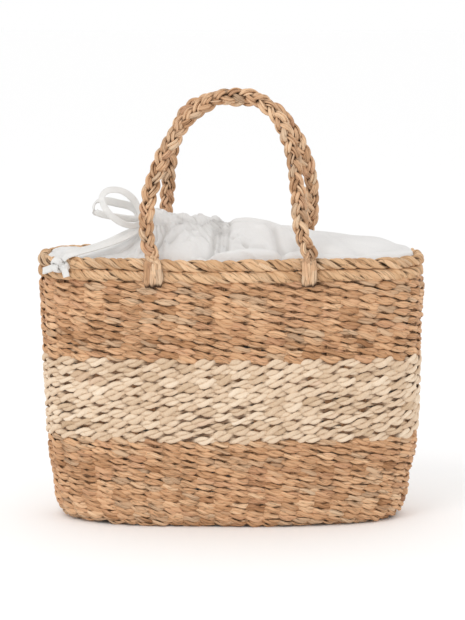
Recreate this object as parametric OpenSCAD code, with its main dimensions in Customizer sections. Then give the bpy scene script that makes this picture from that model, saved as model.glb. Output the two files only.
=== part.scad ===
// Woven market basket: a woven seagrass tote with a pale jute band, a two-row rope border, two
// braided handles that swing at the rim, and a cotton liner that is drawn shut by a tied tape.
// Millimetres, +Z up, +X along the length, the front faces -Y, the origin is under the middle.

/* [Body] */
// Length of the woven wall at the rim
rim_len = 426; // [410:2:440]
// Depth of the woven wall at the rim
rim_dep = 176; // [170:2:190]
// Height of the body, to the top of the border
body_h = 301; // [290:1:310]
// How far each end leans out between the bottom corner and the rim
flare_x = 10; // [8:0.5:16]
// How far the front and the back each lean out
flare_y = 6; // [3:0.5:9]
// Thickness of the woven wall
wall_t = 5; // [4:0.5:5.5]
// Height of the rounded bottom corner
corner_h = 44; // [32:1:48]

/* [Bands] */
// Height at which the pale band starts
pale_bottom = 99; // [90:1:105]
// Height of the pale band
pale_h = 89.5; // [80:0.5:95]
// How far the thicker pale yarn stands proud
pale_proud = 1.5; // [0.5:0.5:2]

/* [Border] */
// Height of each of the two rope rows
rope_h = 12.5; // [11:0.5:13]
// Radial thickness of the rope rows
rope_w = 9.6; // [8.6:0.2:10]

/* [Stakes] */
// Number of upright stakes in the wall
stake_count = 50; // [40:2:56]
// Reeds that lie side by side in each stake
reeds_per_stake = 3; // [2:1:3]
// Diameter of a reed
reed_d = 2.4; // [2:0.2:2.8]

/* [Handles] */
// Distance between the two feet of a handle
handle_span = 170; // [160:2:180]
// Rise of the front handle above its swing axis
front_rise = 171; // [150:1:180]
// Rise of the back handle above its swing axis
back_rise = 162; // [150:1:180]
// How far the handles lean inwards, in degrees
handle_lean = 9.5; // [6:0.5:12]
// Length of braid in which a strand comes back to the same side
braid_pitch = 42; // [40:1:48]

/* [Liner] */
// Thickness of the cotton, with its folded edge
cloth_t = 1.6; // [1.2:0.2:1.8]
// How high the drawn cloth puffs up
puff_h = 13; // [10:1:16]

/* [Hidden] */

seagrass = "#bd9467";
dry_grass = "#a67f55";
jute = "#d9c0a0";
cotton = "#f1efeb";

// Plan outline: superellipses, softer at the base than at the rim.
outline_points = 72;
base_squareness = 2.5;
rim_squareness = 3;
corner_x = 22;
corner_y = 14;
base_a = rim_len / 2 - flare_x - corner_x;
base_b = rim_dep / 2 - flare_y - corner_y;

pale_top = pale_bottom + pale_h;
border_bottom = body_h - 2 * rope_h;
rope_inset = 2.5;
gap = 0.3;

// Layers inside the wall, as insets from its outer face.
reed_step = reed_d + gap;
stake_inset = wall_t + gap + reed_d / 2;
liner_inset = wall_t + reed_d + 2 * gap;
liner_top = body_h - 5;

function squareness(z) = base_squareness + (rim_squareness - base_squareness) * z / body_h;
function wall_a(z, inset) = rim_len / 2 - inset - flare_x * (body_h - z) / (body_h - corner_h);
function wall_b(z, inset) = rim_dep / 2 - inset - flare_y * (body_h - z) / (body_h - corner_h);

// Distance from the axis to a superellipse in direction q.
function reach(a, b, n, q) = pow(pow(abs(cos(q)) / a, n) + pow(abs(sin(q)) / b, n), -1 / n);
function on_outline(a, b, n, q) = reach(a, b, n, q) * [cos(q), sin(q)];
directions = [for (i = [0 : outline_points - 1])
    let (t = 360 * i / outline_points) atan2(rim_dep * sin(t), rim_len * cos(t))];
function ring(a, b, n, z) = [for (q = directions) concat(on_outline(a, b, n, q), z)];

// Level rings of the wall: on the straight part by height, on the bottom corner by angle.
function wall_ring(z, inset) = ring(wall_a(z, inset), wall_b(z, inset), squareness(z), z);
function corner_ring(turn, inset) =
    let (z = inset + (corner_h - inset) * (1 - cos(turn)))
    ring(base_a + (corner_x - inset) * sin(turn), base_b + (corner_y - inset) * sin(turn),
         squareness(z), z);

function unit(v) = v / norm(v);

// Triangles between ring i and the next one, with m points a ring.
function band_faces(i, next, m) = [for (j = [0 : m - 1])
    let (k = (j + 1) % m)
    each [[i * m + j, next * m + j, next * m + k], [i * m + j, next * m + k, i * m + k]]];

// A solid whose rings close on themselves, like a hoop with a cross-section.
module hoop(rings) {
    m = len(rings[0]);
    n = len(rings);
    polyhedron([for (r = rings) each r],
               [for (i = [0 : n - 1]) each band_faces(i, (i + 1) % n, m)], convexity = 6);
}

// A solid from stacked rings, closed by its first and last ring.
module tube(rings) {
    m = len(rings[0]);
    n = len(rings);
    first = [for (j = [0 : m - 1]) j];
    last = [for (j = [m - 1 : -1 : 0]) (n - 1) * m + j];
    polyhedron([for (r = rings) each r],
               concat([first], [for (i = [0 : n - 2]) each band_faces(i, i + 1, m)], [last]),
               convexity = 6);
}

// ---- woven body ----

module base_weave() {
    color(seagrass)
    linear_extrude(wall_t)
    polygon([for (q = directions) on_outline(base_a - 0.05, base_b - 0.05, base_squareness, q)]);
}

// The reeds of one stake, as places either side of its middle.
reed_places = [for (r = [0 : reeds_per_stake - 1]) (r - (reeds_per_stake - 1) / 2) * reed_step];

base_stake_step = 20.8;
module base_stakes() {
    side_room = 9;
    count = floor((base_a - 2 * side_room) / base_stake_step);
    color(dry_grass)
    for (i = [-count : count], place = reed_places) {
        x = i * base_stake_step + place;
        half = base_b * pow(1 - pow(abs(x) / base_a, base_squareness), 1 / base_squareness) - side_room;
        translate([x, half, wall_t + gap + reed_d / 2])
        rotate([90, 0, 0]) cylinder(d = reed_d, h = 2 * half, $fn = 16);
    }
}

corner_steps = 5;
module lower_band() {
    outer = [for (i = [0 : corner_steps]) corner_ring(90 * i / corner_steps, 0)];
    inner = [for (i = [corner_steps : -1 : 0]) corner_ring(90 * i / corner_steps, wall_t)];
    color(seagrass)
    hoop(concat(outer, [wall_ring(pale_bottom, 0)], [wall_ring(pale_bottom, wall_t)], inner));
}

module pale_band() {
    ease = 6;
    color(jute)
    hoop([wall_ring(pale_bottom, 0), wall_ring(pale_bottom + ease, -pale_proud),
          wall_ring(pale_top - ease, -pale_proud), wall_ring(pale_top, 0),
          wall_ring(pale_top, wall_t), wall_ring(pale_bottom, wall_t)]);
}

module upper_band() {
    color(seagrass)
    hoop([wall_ring(pale_top, 0), wall_ring(border_bottom, 0),
          wall_ring(border_bottom, wall_t), wall_ring(pale_top, wall_t)]);
}

// Stakes stand an even distance apart round the outline.
walk_steps = 360;
function walk(i) = on_outline(wall_a(150, stake_inset), wall_b(150, stake_inset), squareness(150),
                              360 * i / walk_steps);
walked = [for (i = 0, s = 0; i <= walk_steps; s = s + norm(walk(i + 1) - walk(i)), i = i + 1) [s, i]];
walk_total = walked[walk_steps][0];
function stake_direction(k) = 360 / walk_steps * lookup(walk_total * k / stake_count, walked);

module rod(from, to, d) {
    v = to - from;
    translate(from)
    rotate([0, acos(v[2] / norm(v)), atan2(v[1], v[0])]) cylinder(d = d, h = norm(v), $fn = 16);
}

module wall_stakes() {
    foot_z = corner_h + 4;
    head_z = border_bottom - 1;
    color(dry_grass)
    for (k = [0 : stake_count - 1], place = reed_places) {
        q = stake_direction(k + 0.5 + place * stake_count / walk_total);
        foot = on_outline(wall_a(foot_z, stake_inset), wall_b(foot_z, stake_inset), squareness(foot_z), q);
        head = on_outline(wall_a(head_z, stake_inset), wall_b(head_z, stake_inset), squareness(head_z), q);
        rod(concat(foot, foot_z), concat(head, head_z), reed_d);
    }
}

// ---- border ----

rope_sides = 10;
module border_rope(row) {
    z = border_bottom + (row + 0.5) * rope_h;
    color(seagrass)
    hoop([for (j = [0 : rope_sides - 1])
        let (t = 360 * j / rope_sides, out = rope_w / 2 * cos(t), up = (rope_h / 2 - 0.05) * sin(t))
        ring(wall_a(z, rope_inset) + out, wall_b(z, rope_inset) + out, squareness(z), z + up)]);
}
module border_rope_lower() border_rope(0);
module border_rope_upper() border_rope(1);

// ---- handles ----

braid_w = 15;
foot_t = 8;
foot_w = 15;
foot_drop = 31;
foot_y = wall_b(body_h, rope_inset) + rope_w / 2 - 1 + foot_t / 2;
foot_top = body_h + 0.5;
axis_up = 9;
axis_z = foot_top + axis_up;
knuckle_d = 6;
core_t = 2.4;
core_w = 13;

// A braid end laid over both rope rows, with the thin core on which the handle swings above it.
module handle_foot(side_x, side_y) {
    color(seagrass)
    translate([side_x * handle_span / 2, side_y * foot_y, 0]) {
        rotate([90, 0, 0]) translate([0, 0, -foot_t / 2]) linear_extrude(foot_t) {
            translate([-foot_w / 2, foot_top - foot_drop + foot_w / 2])
                square([foot_w, foot_drop - foot_w / 2]);
            translate([0, foot_top - foot_drop + foot_w / 2]) circle(d = foot_w, $fn = 40);
        }
        translate([-core_w / 2, -core_t / 2, foot_top - 1]) cube([core_w, core_t, axis_up + 1]);
        translate([-core_w / 2, 0, axis_z]) rotate([0, 90, 0]) cylinder(d = knuckle_d, h = core_w, $fn = 32);
    }
}
module handle_foot_front_left() handle_foot(-1, -1);
module handle_foot_front_right() handle_foot(1, -1);
module handle_foot_back_left() handle_foot(-1, 1);
module handle_foot_back_right() handle_foot(1, 1);

// Middle line of a handle in its own plane: [along X, up from the swing axis], t from 0 to 1.
// Both arches bend aside halfway up, the front one to the left and the back one to the right. The back one
// is squarer, and the top of the front one leans to the right.
front_squareness = 2.2;
back_squareness = 2.7;
arch_bend = 10;
front_top_shift = 6;
function arch(t, rise, sway) =
    let (power = 2 / (sway > 0 ? front_squareness : back_squareness),
         up = pow(max(sin(180 * t), 0), power),
         across = sign(cos(180 * t)) * pow(abs(cos(180 * t)), power))
    [-handle_span / 2 * across - sway * arch_bend * sin(180 * pow(up, 0.6)) + (sway > 0 ? front_top_shift * up : 0),
     rise * up];
arch_steps = 120;
function arch_walk(rise, sway) =
    [for (i = 0, s = 0; i <= arch_steps;
          s = s + norm(arch((i + 1) / arch_steps, rise, sway) - arch(i / arch_steps, rise, sway)),
          i = i + 1) [s, i / arch_steps]];

// Three strands plait into a flat braid: each swings across once while it dips in and out twice.
strand_r = 2;
strand_sides = 6;
braid_swing = braid_w / 2 - strand_r;
braid_dip = 3.1;
rings_per_pitch = 9;
strand_start = 5.5;

module handle_strand(side_y, rise, strand) {
    walk_table = arch_walk(rise, -side_y);
    total = walk_table[arch_steps][0];
    count = round((total - 2 * strand_start) / braid_pitch * rings_per_pitch);
    step = (total - 2 * strand_start) / count;
    up = [0, -side_y * sin(handle_lean), cos(handle_lean)];
    flat = [0, cos(handle_lean), side_y * sin(handle_lean)];
    color(seagrass)
    translate([0, side_y * foot_y, axis_z])
    tube([for (i = [0 : count])
        let (s = strand_start + i * step,
             here = arch(lookup(s, walk_table), rise, -side_y),
             ahead = arch(lookup(s + 0.5, walk_table), rise, -side_y),
             behind = arch(lookup(s - 0.5, walk_table), rise, -side_y),
             run = (ahead - behind) / norm(ahead - behind),
             phase = 360 * s / braid_pitch + 120 * strand,
             across = -run[1] * [1, 0, 0] + run[0] * up,
             middle = here[0] * [1, 0, 0] + here[1] * up
                    + braid_swing * sin(phase) * across + braid_dip * sin(2 * phase) * flat)
        [for (j = [0 : strand_sides - 1])
            middle + strand_r * (cos(360 * j / strand_sides) * flat + sin(360 * j / strand_sides) * across)]]);
}
module front_handle_strand_1() handle_strand(-1, front_rise, 0);
module front_handle_strand_2() handle_strand(-1, front_rise, 1);
module front_handle_strand_3() handle_strand(-1, front_rise, 2);
module back_handle_strand_1() handle_strand(1, back_rise, 0);
module back_handle_strand_2() handle_strand(1, back_rise, 1);
module back_handle_strand_3() handle_strand(1, back_rise, 2);

// ---- liner ----

module liner_bag() {
    inner_inset = liner_inset + cloth_t;
    outer = [for (i = [0 : corner_steps]) corner_ring(90 * i / corner_steps, liner_inset)];
    inner = [for (i = [corner_steps : -1 : 0]) corner_ring(90 * i / corner_steps, inner_inset)];
    color(cotton)
    tube(concat(outer, [wall_ring(liner_top, liner_inset)], [wall_ring(liner_top, inner_inset)], inner));
}

// Short stitches that hold the liner to the border from the inside.
module liner_stitches() {
    stitch_len = 7;
    stitch_d = 0.8;
    z = liner_top - 6;
    inset = liner_inset + cloth_t + 1;
    color(cotton)
    for (k = [1 : stake_count]) {
        q = stake_direction(k);
        here = on_outline(wall_a(z, inset), wall_b(z, inset), squareness(z), q);
        ahead = on_outline(wall_a(z, inset), wall_b(z, inset), squareness(z), q + 0.5);
        half = unit(ahead - here) * stitch_len / 2;
        rod(concat(here - half, z), concat(here + half, z), stitch_d);
    }
}

// The cloth is drawn to a slanting slit, left of the middle.
mouth = [-50, -18, 337];
mouth_along = [0.93, 0.36, -0.07];
mouth_across = [-0.36, 0.93, 0];
mouth_half_len = 37;
mouth_half_w = 6;
mouth_turn = 21;
casing_r = 4.4;
function mouth_point(q, room) = mouth
    + (mouth_half_len + room) * cos(q - mouth_turn) * mouth_along
    + (mouth_half_w + room) * sin(q - mouth_turn) * mouth_across;
// The cloth rises steeply at the rim, then climbs evenly to the mouth on the right. On the left it lies low
// and only climbs near the mouth.
function fullness(q) = (1 + cos(q - 30)) / 2;
function collar_ring(u, inset, drop) =
    let (a = wall_a(liner_top, liner_inset + inset), b = wall_b(liner_top, liner_inset + inset),
         n = squareness(liner_top))
    [for (q = directions)
        let (edge = on_outline(a, b, n, q), lip = mouth_point(q, casing_r + 0.4 + (1 - u) * 4),
             reach = norm([lip[0] - edge[0], lip[1] - edge[1]]),
             rise = pow(u, 3 - 1.8 * fullness(q)),
             lift = puff_h * (0.6 + 0.4 * fullness(q)) * (1 - exp(-u * reach / 6)) * (1 - u))
        [(1 - u) * edge[0] + u * lip[0], (1 - u) * edge[1] + u * lip[1],
         (1 - rise) * (liner_top + 0.1) + rise * lip[2] + lift - drop]];

collar_steps = 8;
collar_t = 2;
module liner_collar() {
    color(cotton)
    hoop(concat([for (i = [0 : collar_steps]) collar_ring(pow(i / collar_steps, 1.7), 0, 0)],
                [for (i = [collar_steps : -1 : 1]) collar_ring(pow(i / collar_steps, 1.7), cloth_t, collar_t)],
                [collar_ring(0, cloth_t, 0)]));
}

casing_sides = 8;
module drawstring_casing() {
    color(cotton)
    hoop([for (j = [0 : casing_sides - 1])
        let (t = 360 * j / casing_sides)
        [for (q = directions) mouth_point(q, casing_r * cos(t)) + [0, 0, casing_r * sin(t)]]]);
}

// ---- drawstring ----

// The tape is 6.5 wide and 3.2 thick. Routes run away from the bow knot.
tape_w = 6.5;
tape_t = 3.2;
tape_sides = 8;
upper_loop_route = [[-101, -39, 347], [-104, -38, 356], [-110, -39, 365], [-120, -41, 372], [-130, -44, 374],
                    [-138, -47, 372], [-142, -50, 366], [-140, -53, 358], [-135, -55, 350], [-127, -56, 342.5],
                    [-117, -55, 337], [-108, -52, 335], [-101, -49, 336.5]];
lower_loop_route = [[-101, -33, 342], [-105, -30, 350], [-114, -28, 355], [-125, -28, 357.5], [-136, -29, 360],
                    [-146, -31, 360], [-151.5, -35, 356.5], [-150.5, -39, 349.5], [-141, -41, 346],
                    [-123, -42, 343], [-110, -42, 341.5], [-101, -42, 341.5]];
front_tail_route = [[-101, -46, 331], [-108, -49, 326.5], [-118, -53, 321], [-133, -57, 315.5], [-146, -60, 311.5],
                    [-158, -62, 308], [-169, -65, 305.5], [-179, -70, 303], [-184, -73, 299]];
back_tail_route = [[-101, -38, 333], [-109, -41, 329], [-121, -44, 324], [-135, -48, 318], [-149, -52, 313],
                   [-163, -55, 309.5], [-175, -58, 307], [-184, -63, 304], [-189, -67, 299]];
bow_at = [-96, -42, 342.5];
end_knot_at = [-188, -70, 292];

// A smooth line through the route's points.
function bend(p, i, t) =
    let (n = len(p) - 1, a = p[max(i - 1, 0)], b = p[i], c = p[min(i + 1, n)], d = p[min(i + 2, n)])
    0.5 * (2 * b + (c - a) * t + (2 * a - 5 * b + 4 * c - d) * t * t + (3 * b - a - 3 * c + d) * t * t * t);
module tape(route, face) {
    per_span = 3;
    line = concat([for (i = [0 : len(route) - 2]) for (k = [0 : per_span - 1]) bend(route, i, k / per_span)],
                  [route[len(route) - 1]]);
    last = len(line) - 1;
    color(cotton)
    tube([for (i = [0 : last])
        let (run = unit(line[min(i + 1, last)] - line[max(i - 1, 0)]),
             wide = unit(face - (face * run) * run),
             thin = cross(run, wide))
        [for (j = [0 : tape_sides - 1])
            line[i] + tape_w / 2 * cos(360 * j / tape_sides) * wide
                    + tape_t / 2 * sin(360 * j / tape_sides) * thin]]);
}

module bow_loop_upper() tape(upper_loop_route, [0, 1, 0.2]);
module bow_loop_lower() tape(lower_loop_route, [0, 1, 0.2]);
module drawstring_tail_front() tape(front_tail_route, [0, 1, 0]);
module drawstring_tail_back() tape(back_tail_route, [0, 1, 0]);

module bow_knot() {
    color(cotton)
    hull() {
        for (y = [-3, 3]) for (z = [-4, 4]) translate(bow_at + [0, y, z]) sphere(r = 3.5, $fn = 16);
        translate(bow_at + [3, 6, -2]) sphere(r = 3, $fn = 16);
    }
}

module drawstring_end_knot() {
    color(cotton)
    hull() {
        translate(end_knot_at + [-4, 2, 0]) sphere(r = 5, $fn = 16);
        translate(end_knot_at + [3, -1, 0]) sphere(r = 5, $fn = 16);
    }
}

base_weave();
base_stakes();
lower_band();
pale_band();
upper_band();
wall_stakes();
border_rope_lower();
border_rope_upper();
handle_foot_front_left();
handle_foot_front_right();
handle_foot_back_left();
handle_foot_back_right();
front_handle_strand_1();
front_handle_strand_2();
front_handle_strand_3();
back_handle_strand_1();
back_handle_strand_2();
back_handle_strand_3();
liner_bag();
liner_stitches();
liner_collar();
drawstring_casing();
bow_knot();
bow_loop_upper();
bow_loop_lower();
drawstring_tail_front();
drawstring_tail_back();
drawstring_end_knot();
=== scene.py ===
"""Woven market basket: the looks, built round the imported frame.

Lengths are in millimetres and meshes are made in metres. Rows, ropes and handles are swept strands.
The liner's top starts from a short cloth simulation and gets its folds from formulas. The drawstring
follows the same routes as its CAD nodes.
"""
import math

import bpy
import numpy as np
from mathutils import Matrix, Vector


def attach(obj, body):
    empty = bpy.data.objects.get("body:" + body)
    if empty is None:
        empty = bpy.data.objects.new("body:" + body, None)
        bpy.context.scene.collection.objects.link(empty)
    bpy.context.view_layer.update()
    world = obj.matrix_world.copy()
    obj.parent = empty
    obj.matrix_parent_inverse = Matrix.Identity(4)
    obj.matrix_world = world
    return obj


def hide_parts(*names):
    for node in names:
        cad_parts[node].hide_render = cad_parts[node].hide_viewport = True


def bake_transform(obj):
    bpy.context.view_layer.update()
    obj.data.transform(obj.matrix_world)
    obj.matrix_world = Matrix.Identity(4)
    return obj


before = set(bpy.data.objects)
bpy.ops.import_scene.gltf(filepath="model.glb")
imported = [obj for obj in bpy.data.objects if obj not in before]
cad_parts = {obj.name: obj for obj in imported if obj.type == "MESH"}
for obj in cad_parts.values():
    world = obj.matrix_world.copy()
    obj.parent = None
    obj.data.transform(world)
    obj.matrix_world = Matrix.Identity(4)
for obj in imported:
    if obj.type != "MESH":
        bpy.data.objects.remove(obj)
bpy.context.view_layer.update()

MM = 0.001
PI = math.pi
FLOOR_CLEARANCE = 0.15
CAMERA_DOWN = 7.64
PAPER_HALF = 40


# ---------------------------------------------------------------- camera, floor and light

def aim(obj, target):
    obj.rotation_euler = (Vector(target) - obj.location).to_track_quat("-Z", "Y").to_euler()


def make_camera():
    data = bpy.data.cameras.new("camera")
    data.lens = 134.8
    data.sensor_width = 36
    camera = bpy.data.objects.new("camera", data)
    camera.location = (0.0017, -2.6, 0.583)
    camera.rotation_euler = (math.radians(90 - CAMERA_DOWN), 0, 0)
    bpy.context.scene.collection.objects.link(camera)
    bpy.context.scene.camera = camera


def area_light(name, place, size, power, target=(0, 0, 0.2)):
    data = bpy.data.lights.new(name, "AREA")
    data.shape = "RECTANGLE"
    data.size, data.size_y = size
    data.energy = power
    light = bpy.data.objects.new(name, data)
    light.location = place
    bpy.context.scene.collection.objects.link(light)
    aim(light, target)


def make_studio():
    world = bpy.data.worlds.new("studio")
    world.use_nodes = True
    world.node_tree.nodes["Background"].inputs["Color"].default_value = (1, 1, 1, 1)
    world.node_tree.nodes["Background"].inputs["Strength"].default_value = 1.0
    bpy.context.scene.world = world
    bpy.context.scene.view_settings.view_transform = "Standard"
    area_light("key", (-1.3, -2.2, 2.8), (1.4, 1.4), 24)

    floor_data = bpy.data.meshes.new("floor")
    corners = [(x * PAPER_HALF, y * PAPER_HALF, 0) for x, y in ((-1, -1), (1, -1), (1, 1), (-1, 1))]
    floor_data.from_pydata(corners, [], [(0, 1, 2, 3)])
    floor = bpy.data.objects.new("floor", floor_data)
    bpy.context.scene.collection.objects.link(floor)
    paper = bpy.data.materials.new("white_paper")
    paper.use_nodes = True
    shader = paper.node_tree.nodes["Principled BSDF"]
    shader.inputs["Base Color"].default_value = (0.995, 0.995, 0.995, 1)
    shader.inputs["Roughness"].default_value = 0.9
    shader.inputs["Specular IOR Level"].default_value = 0.1
    floor.data.materials.append(paper)


make_camera()
make_studio()


# ---------------------------------------------------------------- materials

class Graph:
    """A material's node tree, with short calls for the nodes used here."""

    def __init__(self, name):
        self.material = bpy.data.materials.new(name)
        self.material.use_nodes = True
        self.nodes = self.material.node_tree.nodes
        self.links = self.material.node_tree.links
        self.shader = self.nodes["Principled BSDF"]

    def put(self, socket, value):
        if isinstance(value, bpy.types.NodeSocket):
            self.links.new(value, socket)
        else:
            socket.default_value = value

    def coordinates(self, scale, uv="strand"):
        source = self.nodes.new("ShaderNodeUVMap")
        source.uv_map = uv
        node = self.nodes.new("ShaderNodeMapping")
        node.inputs["Scale"].default_value = scale
        self.links.new(source.outputs["UV"], node.inputs["Vector"])
        return node.outputs["Vector"]

    def bands(self, direction, vector, distortion, detail):
        wave = self.nodes.new("ShaderNodeTexWave")
        wave.wave_type = "BANDS"
        wave.bands_direction = direction
        wave.inputs["Scale"].default_value = 1
        wave.inputs["Distortion"].default_value = distortion
        wave.inputs["Detail"].default_value = detail
        self.links.new(vector, wave.inputs["Vector"])
        return wave.outputs["Fac"]

    def noise(self, vector, detail=3.0, roughness=0.6, distortion=0.0):
        node = self.nodes.new("ShaderNodeTexNoise")
        node.inputs["Scale"].default_value = 1
        node.inputs["Detail"].default_value = detail
        node.inputs["Roughness"].default_value = roughness
        node.inputs["Distortion"].default_value = distortion
        self.links.new(vector, node.inputs["Vector"])
        return node.outputs["Fac"]

    def math(self, operation, a, b=0.0):
        node = self.nodes.new("ShaderNodeMath")
        node.operation = operation
        self.put(node.inputs[0], a)
        self.put(node.inputs[1], b)
        return node.outputs[0]

    def ramp(self, value, stops):
        node = self.nodes.new("ShaderNodeValToRGB")
        elements = node.color_ramp.elements
        while len(elements) < len(stops):
            elements.new(0.5)
        for element, (at, colour) in zip(elements, stops):
            element.position = at
            element.color = (*colour, 1)
        self.links.new(value, node.inputs["Fac"])
        return node.outputs["Color"]

    def grey_ramp(self, value, stops):
        return self.ramp(value, [(at, (v, v, v)) for at, v in stops])

    def mix(self, a, b, factor):
        node = self.nodes.new("ShaderNodeMix")
        node.data_type = "RGBA"
        self.put(node.inputs["Factor"], factor)
        self.put(node.inputs["A"], a)
        self.put(node.inputs["B"], b)
        return node.outputs["Result"]

    def attribute(self, name):
        source = self.nodes.new("ShaderNodeAttribute")
        source.attribute_name = name
        split = self.nodes.new("ShaderNodeSeparateColor")
        self.links.new(source.outputs["Color"], split.inputs["Color"])
        return split.outputs["Red"], split.outputs["Green"], split.outputs["Blue"]

    def bump(self, height, distance, strength=1.0, below=None):
        node = self.nodes.new("ShaderNodeBump")
        node.inputs["Strength"].default_value = strength
        node.inputs["Distance"].default_value = distance
        self.links.new(height, node.inputs["Height"])
        if below is not None:
            self.links.new(below, node.inputs["Normal"])
        return node.outputs["Normal"]

    def finish(self, colour, normal, roughness, specular=0.3, sheen=0.0, sheen_roughness=0.5):
        self.put(self.shader.inputs["Base Color"], colour)
        self.put(self.shader.inputs["Normal"], normal)
        self.put(self.shader.inputs["Roughness"], roughness)
        self.shader.inputs["Specular IOR Level"].default_value = specular
        self.shader.inputs["Sheen Weight"].default_value = sheen
        self.shader.inputs["Sheen Roughness"].default_value = sheen_roughness
        return self.material


def grass_material(name, stops, grey, pink):
    """Dry twisted leaves: long streaks, dark lines of painted shade where leaves overlap, patches of other
    hues. The leaf attribute's shade channel darkens the colour as painted shade.
    """
    g = Graph(name)
    tone, tint, shade = g.attribute("leaf")
    streak = g.noise(g.coordinates((110, 9, 1)), detail=4, roughness=0.65)
    patch = g.noise(g.coordinates((38, 2.2, 1)), detail=2)
    leaf_edge = g.noise(g.coordinates((30, 4.5, 1)), detail=1, distortion=0.2)
    crease = g.grey_ramp(leaf_edge, [(0.40, 1.0), (0.468, 1.0), (0.495, 0.0), (0.522, 1.0)])
    value = g.math("ADD", g.math("MULTIPLY", tone, 0.5), g.math("MULTIPLY", streak, 0.3))
    value = g.math("ADD", value, g.math("MULTIPLY", patch, 0.3))
    colour = g.ramp(value, stops)
    hue = g.math("ADD", g.math("MULTIPLY", tint, 0.75), g.math("MULTIPLY", patch, 0.25))
    colour = g.mix(colour, g.mix(colour, (*grey, 1), 0.45), g.grey_ramp(hue, [(0.62, 0.0), (0.8, 1.0)]))
    colour = g.mix(colour, g.mix(colour, (*pink, 1), 0.35), g.grey_ramp(hue, [(0.18, 1.0), (0.36, 0.0)]))
    # painted shade: the crease lines darken the colour in the grooves where leaves overlap
    colour = g.mix(colour, (0.10, 0.045, 0.018, 1), g.math("MULTIPLY", g.math("SUBTRACT", 1.0, crease), 0.55))
    colour = g.mix((0.07, 0.032, 0.014, 1), colour, shade)
    height = g.math("ADD", g.math("MULTIPLY", streak, 0.7), g.math("MULTIPLY", crease, 0.8))
    normal = g.bump(height, 0.0006, strength=0.8)
    return g.finish(colour, normal, g.grey_ramp(streak, [(0.2, 0.78), (0.8, 0.5)]), specular=0.3)


def jute_material():
    """Two-ply yarn: fibres wound round each ply, with a hairy, matt surface."""
    g = Graph("natural_jute")
    tone, tint, shade = g.attribute("leaf")
    wound = g.bands("DIAGONAL", g.coordinates((150, 0.64, 0)), 2.5, 2)
    fibre = g.noise(g.coordinates((420, 14, 1)), detail=4, roughness=0.7, distortion=0.6)
    patch = g.noise(g.coordinates((45, 2, 1)), detail=2)
    value = g.math("ADD", g.math("MULTIPLY", tone, 0.45), g.math("MULTIPLY", fibre, 0.35))
    value = g.math("ADD", value, g.math("MULTIPLY", patch, 0.25))
    colour = g.ramp(value, [(0.12, (0.36, 0.22, 0.12)), (0.34, (0.60, 0.43, 0.28)),
                            (0.52, (0.76, 0.585, 0.42)), (0.68, (0.86, 0.70, 0.53)),
                            (0.88, (0.95, 0.83, 0.69))])
    colour = g.mix(colour, (0.62, 0.36, 0.24, 1), g.grey_ramp(tint, [(0.93, 0.0), (1.0, 0.3)]))
    colour = g.mix((0.16, 0.075, 0.035, 1), colour, shade)
    height = g.math("ADD", g.math("MULTIPLY", wound, 0.6), g.math("MULTIPLY", fibre, 0.8))
    return g.finish(colour, g.bump(height, 0.0006, 0.8), 0.85, specular=0.15, sheen=0.08)


def cotton_material(name, thread, base, hollows=True):
    """Plain-woven cotton: crossed threads, slubs and fine creases. With hollows true, painted shade from the
    leaf attribute darkens the cloth's hollows.
    """
    g = Graph(name)
    uv = "cloth"
    warp = g.bands("X", g.coordinates((thread, thread, 0), uv), 0.6, 1)
    weft = g.bands("Y", g.coordinates((thread, thread, 0), uv), 0.6, 1)
    weave = g.math("MULTIPLY", warp, weft)
    slub = g.noise(g.coordinates((260, 1400, 1), uv), detail=2)
    crumple = g.noise(g.coordinates((60, 60, 1), uv), detail=4, roughness=0.55, distortion=0.8)
    value = g.math("ADD", g.math("MULTIPLY", weave, 0.4), g.math("MULTIPLY", slub, 0.6))
    colour = g.ramp(value, [(0.1, tuple(c * 0.93 for c in base)), (0.6, base)])
    if hollows:
        # painted shade: darker in the hollows, by the leaf attribute's third channel
        colour = g.mix((0.36, 0.33, 0.30, 1), colour, g.attribute("leaf")[2])
    normal = g.bump(crumple, 0.0016, 0.45)
    normal = g.bump(g.math("ADD", weave, g.math("MULTIPLY", slub, 0.5)), 0.00022, 0.6, normal)
    return g.finish(colour, normal, 0.9, specular=0.15, sheen=0.15)


SEAGRASS = grass_material(
    "dry_seagrass",
    [(0.20, (0.21, 0.09, 0.034)), (0.38, (0.46, 0.236, 0.11)), (0.53, (0.64, 0.368, 0.197)),
     (0.68, (0.76, 0.465, 0.262)), (0.88, (0.88, 0.635, 0.41))],
    grey=(0.56, 0.44, 0.31), pink=(0.58, 0.31, 0.19))
BORDER_GRASS = grass_material(
    "border_seagrass",
    [(0.18, (0.258, 0.123, 0.053)), (0.36, (0.516, 0.293, 0.145)), (0.52, (0.688, 0.43, 0.236)),
     (0.68, (0.802, 0.529, 0.314)), (0.88, (0.888, 0.661, 0.444))],
    grey=(0.63, 0.482, 0.338), pink=(0.63, 0.35, 0.212))
HANDLE_GRASS = grass_material(
    "handle_seagrass",
    [(0.20, (0.19, 0.085, 0.034)), (0.38, (0.455, 0.25, 0.128)), (0.53, (0.665, 0.405, 0.232)),
     (0.68, (0.80, 0.535, 0.33)), (0.88, (0.93, 0.71, 0.48))],
    grey=(0.60, 0.49, 0.36), pink=(0.61, 0.34, 0.22))
STAKE_GRASS = grass_material(
    "stake_grass",
    [(0.2, (0.12, 0.055, 0.025)), (0.5, (0.30, 0.155, 0.075)), (0.8, (0.48, 0.27, 0.14))],
    grey=(0.3, 0.21, 0.13), pink=(0.32, 0.15, 0.09))
JUTE = jute_material()
COTTON = cotton_material("liner_cotton", 9000, (0.825, 0.812, 0.797))
TAPE = cotton_material("cotton_tape", 7000, (0.83, 0.815, 0.79))
STITCH_COTTON = cotton_material("stitch_cotton", 9000, (0.825, 0.812, 0.797), hollows=False)


# ---------------------------------------------------------------- meshes from strands

def unit(v):
    return v / np.linalg.norm(v, axis=-1, keepdims=True)


def smooth_step(x, low, high):
    t = np.clip((x - low) / (high - low), 0, 1)
    return t * t * (3 - 2 * t)


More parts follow.
